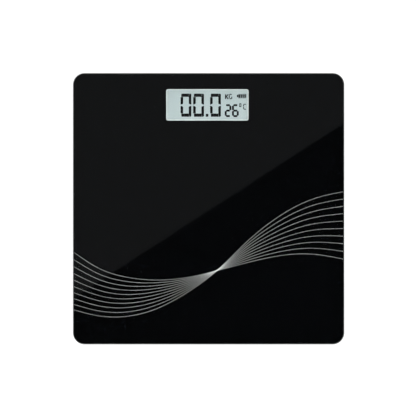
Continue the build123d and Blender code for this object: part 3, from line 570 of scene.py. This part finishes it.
CORNERS = ("rear_right", "rear_left", "front_right", "front_left")
dress(moulded("cap_ivory", (0.6, 0.59, 0.55), 0.45), *["cell_cap_" + corner for corner in CORNERS])
dress(moulded("foot_black", (0.02, 0.02, 0.022), 0.42), *["foot_" + corner for corner in CORNERS])

# --- Foam tapes -----------------------------------------------------------------------------------------
# Closed-cell foam tape with acrylic adhesive holds the glass to the tray's rim and to the four caps, and a
# thinner one seals the display frame. Its cut edge shows as a dull dark line under the glass.

foam, tree, shader = new_finish("foam_tape", Roughness=0.92, Specular_IOR_Level=0.15)
place = step(tree, "ShaderNodeTexCoord")
cells = step(tree, "ShaderNodeTexVoronoi", {"Vector": place.outputs["Object"], "Scale": 4200.0})
tone = step(tree, "ShaderNodeValToRGB", {"Fac": cells.outputs["Distance"]})
tone.color_ramp.elements[0].color = (0.006, 0.006, 0.006, 1)
tone.color_ramp.elements[1].color = (0.02, 0.02, 0.021, 1)
bump = step(
    tree, "ShaderNodeBump", {"Strength": 0.9, "Distance": 0.08 * MM, "Height": cells.outputs["Distance"]}
)
tree.links.new(tone.outputs[0], shader.inputs["Base Color"])
tree.links.new(bump.outputs[0], shader.inputs["Normal"])
dress(foam, "rim_tape", "cap_tape_rings", "display_tape")

# --- Foot pads ------------------------------------------------------------------------------------------
# Soft rubber discs glued into the soles, with rings of tread. They pick up lint and grey scuffs from the
# floor.

pad_rubber, tree, shader = new_finish("pad_rubber", Specular_IOR_Level=0.3)
place = step(tree, "ShaderNodeTexCoord")
scuff = step(
    tree, "ShaderNodeTexNoise", {"Vector": place.outputs["Object"], "Scale": 220.0, "Detail": 6.0}
)
axes = step(tree, "ShaderNodeSeparateXYZ", {0: place.outputs["Object"]})
near_floor = step(
    tree,
    "ShaderNodeMapRange",
    {"Value": axes.outputs["Z"], "From Min": 0.0, "From Max": 0.8 * MM, "To Min": 1, "To Max": 0},
)
lint = step(
    tree, "ShaderNodeMath", {0: scuff.outputs["Fac"], 1: near_floor.outputs[0]}, operation="MULTIPLY"
)
tone = step(
    tree,
    "ShaderNodeMix",
    {"Factor": lint.outputs[0], 6: (0.03, 0.03, 0.03, 1), 7: (0.1, 0.098, 0.095, 1)},
    data_type="RGBA",
)
rough = step(tree, "ShaderNodeMapRange", {"Value": scuff.outputs["Fac"], "To Min": 0.7, "To Max": 0.95})
bump = step(
    tree, "ShaderNodeBump", {"Strength": 0.4, "Distance": 0.03 * MM, "Height": scuff.outputs["Fac"]}
)
tree.links.new(tone.outputs[2], shader.inputs["Base Color"])
tree.links.new(rough.outputs[0], shader.inputs["Roughness"])
tree.links.new(bump.outputs[0], shader.inputs["Normal"])
dress(pad_rubber, *["foot_pad_" + corner for corner in CORNERS])

# --- Metal parts ----------------------------------------------------------------------------------------
# Load cells are stamped from spring steel and nickel plated, like the battery contacts. Screws are zinc
# plated. Rolling and plating leave fine streaks and a soft variation of gloss.


def plated(name, colour, roughness, streaks):
    """Plated sheet or wire: streaks is how many times finer the streaks are across than along X."""
    shine = {"bump": (0.2, 0.01 * MM), "stretch": (1, streaks, 1), "Metallic": 1.0}
    return drifting(name, colour, 0.82, roughness, 0.25, 300.0, 4.0, **shine)


dress(plated("cell_steel", (0.62, 0.62, 0.61), 0.32, 8), *["load_cell_" + corner for corner in CORNERS])
contact_nickel = plated("contact_nickel", (0.74, 0.71, 0.64), 0.22, 3)
dress(contact_nickel, "contact_bridge", "contact_positive", "contact_negative")
dress(plated("screw_zinc", (0.6, 0.61, 0.63), 0.35, 1), "cap_screws", "board_screws", "frame_screws")

# --- Soft cover over the gauges, epoxy and sensor -------------------------------------------------------
# White silicone is dabbed over each pair of strain gauges. Black epoxy covers the controller chip and the
# bead of the temperature sensor, and sets with a wet gloss.


def potted(name, colour, roughness):
    """A compound that was dabbed on wet: soft lumps and small changes of gloss."""
    return drifting(name, colour, 0.85, roughness, 0.3, 350.0, 2.0, bump=(0.5, 0.15 * MM))


dress(potted("gauge_silicone", (0.8, 0.8, 0.77), 0.5), "gauge_coatings")
dress(potted("chip_epoxy", (0.012, 0.012, 0.013), 0.18), "controller_blob", "thermistor")

# --- Circuit board --------------------------------------------------------------------------------------
# A single-sided board under the display, coated with green solder resist. Copper tracks show through the
# resist as paler lines. The striped rubber strip presses between its contacts and the panel's ledge.

board_green, tree, shader = new_finish("board_green", Specular_IOR_Level=0.5, Coat_Weight=0.3)
place = step(tree, "ShaderNodeTexCoord")
grid = step(
    tree,
    "ShaderNodeTexBrick",
    {
        "Vector": place.outputs["Object"],
        "Scale": 220.0,
        "Mortar Size": 0.035,
        "Color1": (0.01, 0.085, 0.035, 1),
        "Color2": (0.012, 0.1, 0.042, 1),
        "Mortar": (0.05, 0.2, 0.07, 1),
    },
)
weave = step(tree, "ShaderNodeTexNoise", {"Vector": place.outputs["Object"], "Scale": 700.0})
gloss = step(tree, "ShaderNodeMapRange", {"Value": weave.outputs["Fac"], "To Min": 0.25, "To Max": 0.45})
bump = step(
    tree, "ShaderNodeBump", {"Strength": 0.4, "Distance": 0.03 * MM, "Height": grid.outputs["Fac"]}
)
tree.links.new(grid.outputs["Color"], shader.inputs["Base Color"])
tree.links.new(gloss.outputs[0], shader.inputs["Roughness"])
tree.links.new(bump.outputs[0], shader.inputs["Normal"])
dress(board_green, "circuit_board")

zebra, tree, shader = new_finish("zebra_rubber", Roughness=0.6)
place = step(tree, "ShaderNodeTexCoord")
stripes = step(
    tree, "ShaderNodeTexWave", {"Vector": place.outputs["Object"], "Scale": 900.0}, bands_direction="X"
)
tone = step(tree, "ShaderNodeValToRGB", {"Fac": stripes.outputs["Fac"]})
tone.color_ramp.interpolation = "CONSTANT"
tone.color_ramp.elements[0].color = (0.02, 0.02, 0.02, 1)
tone.color_ramp.elements[1].position = 0.5
tone.color_ramp.elements[1].color = (0.55, 0.5, 0.45, 1)
tree.links.new(tone.outputs[0], shader.inputs["Base Color"])
dress(zebra, "zebra_strip")

chip_body, tree, shader = new_finish("chip_ceramic", Roughness=0.4)
place = step(tree, "ShaderNodeTexCoord")
kind = step(tree, "ShaderNodeTexVoronoi", {"Vector": place.outputs["Object"], "Scale": 160.0})
tone = step(tree, "ShaderNodeValToRGB", {"Fac": kind.outputs["Color"]})
tone.color_ramp.elements[0].color = (0.015, 0.014, 0.014, 1)
tone.color_ramp.elements[1].color = (0.3, 0.22, 0.14, 1)
tree.links.new(tone.outputs[0], shader.inputs["Base Color"])
dress(chip_body, "board_components")

# --- Batteries ------------------------------------------------------------------------------------------
# Two AAA cells: drawn steel cans in a printed sleeve, blue with a copper band at the positive end and bare
# steel at both ends.

SLEEVE_START = 0.02  # shares of the cell's length, from its negative end
COPPER_START = 0.72
SLEEVE_END = 0.97
BARE_STEEL = (0.55, 0.55, 0.54, 1)
SLEEVE_BLUE = (0.02, 0.07, 0.2, 1)
SLEEVE_COPPER = (0.5, 0.2, 0.06, 1)


def cell_sleeve(name, toward):
    """The sleeve of one cell, whose positive end points along X towards the side toward."""
    low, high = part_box(name)
    start = low.x if toward > 0 else high.x
    finish, tree, shader = new_finish(name + "_sleeve", Specular_IOR_Level=0.5)
    place = step(tree, "ShaderNodeTexCoord")
    axes = step(tree, "ShaderNodeSeparateXYZ", {0: place.outputs["Object"]})
    along = step(
        tree,
        "ShaderNodeMapRange",
        {"Value": axes.outputs["X"], "From Min": start, "From Max": start + toward * (high.x - low.x)},
    )
    bands = step(tree, "ShaderNodeValToRGB", {"Fac": along.outputs[0]})
    bands.color_ramp.interpolation = "CONSTANT"
    bands.color_ramp.elements[0].color = BARE_STEEL
    bands.color_ramp.elements[1].position = SLEEVE_END
    bands.color_ramp.elements[1].color = BARE_STEEL
    bands.color_ramp.elements.new(SLEEVE_START).color = SLEEVE_BLUE
    bands.color_ramp.elements.new(COPPER_START).color = SLEEVE_COPPER
    rub = step(
        tree, "ShaderNodeTexNoise", {"Vector": place.outputs["Object"], "Scale": 500.0, "Detail": 3.0}
    )
    gloss = step(tree, "ShaderNodeMapRange", {"Value": rub.outputs["Fac"], "To Min": 0.2, "To Max": 0.4})
    steel = step(tree, "ShaderNodeMath", {0: along.outputs[0], 1: SLEEVE_START}, operation="LESS_THAN")
    tree.links.new(bands.outputs[0], shader.inputs["Base Color"])
    tree.links.new(gloss.outputs[0], shader.inputs["Roughness"])
    tree.links.new(steel.outputs[0], shader.inputs["Metallic"])
    dress(finish, name)


cell_sleeve("battery_hinge_end", 1)
cell_sleeve("battery_latch_end", -1)

# --- Wires ----------------------------------------------------------------------------------------------
# Stranded leads in soft coloured PVC: three from each load cell and two from the battery contacts. They lie
# on the tray's floor and are soldered under the board.


def insulation(name, colour):
    """Soft PVC with a slightly dusty, uneven gloss."""
    return drifting(name, colour, 0.8, 0.475, 0.26, 260.0, 3.0, Specular_IOR_Level=0.45)


dress(insulation("wire_red", (0.55, 0.02, 0.015)), "red_sensor_wires", "red_battery_wire")
dress(insulation("wire_white", (0.75, 0.75, 0.72)), "white_sensor_wires")
dress(insulation("wire_black", (0.012, 0.012, 0.012)), "black_sensor_wires", "black_battery_wire")

# --- Floor and light ------------------------------------------------------------------------------------
# A plain white floor that glows by itself, with a painted shadow round and under the scale, under a pale
# sky whose light comes from a wide ring above the horizon. Straight overhead the sky is dark, so the glass
# reads black from above, and a box behind lights the far edges.

FLOOR_HALF = 4.0
FLOOR_LOW = -0.05 * MM  # just clear of the pads
FLOOR_GLOW = 0.93  # open floor glows to a plain white, with a painted shadow that dims the glow where the scale would shade it
SHADE_REACH = 90 * MM
floor_mesh = bpy.data.meshes.new("floor")
corners = [(x * FLOOR_HALF, y * FLOOR_HALF, FLOOR_LOW) for x, y in ((-1, -1), (1, -1), (1, 1), (-1, 1))]
floor_mesh.from_pydata(corners, [], [(0, 1, 2, 3)])
floor = bpy.data.objects.new("floor", floor_mesh)
bpy.context.scene.collection.objects.link(floor)
floor_glow_with_painted_shadow, tree, shader = new_finish("floor_glow_with_painted_shadow", Specular_IOR_Level=0.1, Roughness=0.8)
place = step(tree, "ShaderNodeTexCoord")
cloud = step(tree, "ShaderNodeTexNoise", {"Vector": place.outputs["Object"], "Scale": 3.0})
tone = step(tree, "ShaderNodeValToRGB", {"Fac": cloud.outputs["Fac"]})
tone.color_ramp.elements[0].color = (0.11, 0.11, 0.11, 1)
tone.color_ramp.elements[1].color = (0.12, 0.12, 0.12, 1)
tree.links.new(tone.outputs[0], shader.inputs["Base Color"])
open_sky = step(tree, "ShaderNodeAmbientOcclusion", {"Distance": SHADE_REACH}, samples=12)
# Painted shadow: ambient occlusion dims the floor's glow near and under the scale.
painted_shadow = step(
    tree,
    "ShaderNodeMapRange",
    {"Value": open_sky.outputs["AO"], "From Min": 0.0, "From Max": 0.5, "To Min": 0.12, "To Max": 1.0},
    interpolation_type="SMOOTHSTEP",
)
tree.links.new(painted_shadow.outputs[0], shader.inputs["Emission Color"])
shader.inputs["Emission Strength"].default_value = FLOOR_GLOW
side = step(tree, "ShaderNodeNewGeometry")
nothing = step(tree, "ShaderNodeBsdfTransparent")
seen = step(
    tree,
    "ShaderNodeMixShader",
    {0: side.outputs["Backfacing"], 1: shader.outputs[0], 2: nothing.outputs[0]},
)
tree.links.new(seen.outputs[0], tree.nodes["Material Output"].inputs["Surface"])
floor_mesh.materials.append(floor_glow_with_painted_shadow)

sky = bpy.data.worlds.new("studio")
bpy.context.scene.world = sky
sky.use_nodes = True
tree = sky.node_tree
place = step(tree, "ShaderNodeTexCoord")
axes = step(tree, "ShaderNodeSeparateXYZ", {0: place.outputs["Generated"]})
# Height is the sine of the angle above the horizon, and each height has its brightness.
SKY_TOP = 3.3
SKY = (
    (0.0, 1.0),
    (0.14, 1.0),
    (0.24, 0.25),
    (0.4, 0.12),
    (0.68, 0.4),
    (0.78, SKY_TOP),
    (0.945, SKY_TOP),
    (0.975, 0.01),
    (1, 0.01),
)
rise = step(tree, "ShaderNodeValToRGB", {"Fac": axes.outputs["Z"]})
rise.color_ramp.interpolation = "EASE"
stops = rise.color_ramp.elements
stops[0].position = SKY[0][0]
stops[1].position = SKY[-1][0]
for height, _ in SKY[1:-1]:
    stops.new(height)
for stop, (_, brightness) in zip(stops, SKY):
    stop.color = (brightness / SKY_TOP,) * 3 + (1,)
background = tree.nodes["Background"]
background.inputs["Strength"].default_value = SKY_TOP
tree.links.new(rise.outputs[0], background.inputs["Color"])


def soft_light(name, place, aim, size, brightness):
    """A rectangular soft box. brightness is its own radiance, so size doesn't change how it looks when
    reflected."""
    lamp = bpy.data.lights.new(name, "AREA")
    lamp.shape = "RECTANGLE"
    lamp.size, lamp.size_y = size
    lamp.energy = brightness * math.pi * size[0] * size[1]
    made = bpy.data.objects.new(name, lamp)
    made.location = place
    made.rotation_euler = (Vector(aim) - Vector(place)).to_track_quat("-Z", "Y").to_euler()
    bpy.context.scene.collection.objects.link(made)
    return made


soft_light("rear_box", (-0.7, 1.9, 1.7), (0, 0, 0), (1.4, 0.9), 2.2)

# --- Camera and sheen card ------------------------------------------------------------------------------
# The camera looks straight down. The card hangs above it, and its long edge lies where the glass mirrors it
# as a straight diagonal from the left side to the right side of the platform.

glass_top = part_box("glass_platform")[1].z
CAMERA_UP = 1.6  # above the glass
VIEW_WIDTH = 0.3988  # seen at the glass
CAMERA_AT = (-0.6 * MM, 0.7 * MM)
SENSOR = 36.0
lens = bpy.data.cameras.new("camera")
lens.sensor_width = SENSOR
lens.lens = SENSOR * CAMERA_UP / VIEW_WIDTH
lens.clip_end = 50
camera = bpy.data.objects.new("camera", lens)
camera.location = (*CAMERA_AT, glass_top + CAMERA_UP)
bpy.context.scene.collection.objects.link(camera)
bpy.context.scene.camera = camera

CARD_UP = 2.4
SHEEN_RIGHT = Vector((129 * MM, 81 * MM))  # two points of the diagonal on the glass
SHEEN_LEFT = Vector((-89 * MM, -60 * MM))
CARD_SIZE = (2.0, 1.0)
CARD_BRIGHTNESS = 0.066
mirror_scale = 1 + CARD_UP / CAMERA_UP
along = (SHEEN_RIGHT - SHEEN_LEFT).normalized()
away = Vector((-along.y, along.x))
edge_middle = (SHEEN_RIGHT + SHEEN_LEFT) / 2 * mirror_scale
card_middle = edge_middle + away * CARD_SIZE[1] / 2
card = soft_light("sheen_card", (0, 0, 1), (0, 0, 0), CARD_SIZE, CARD_BRIGHTNESS)
card.location = (card_middle.x, card_middle.y, glass_top + CARD_UP)
card.rotation_euler = Euler((0, 0, math.atan2(along.y, along.x)))

bpy.context.scene.view_settings.view_transform = "Standard"
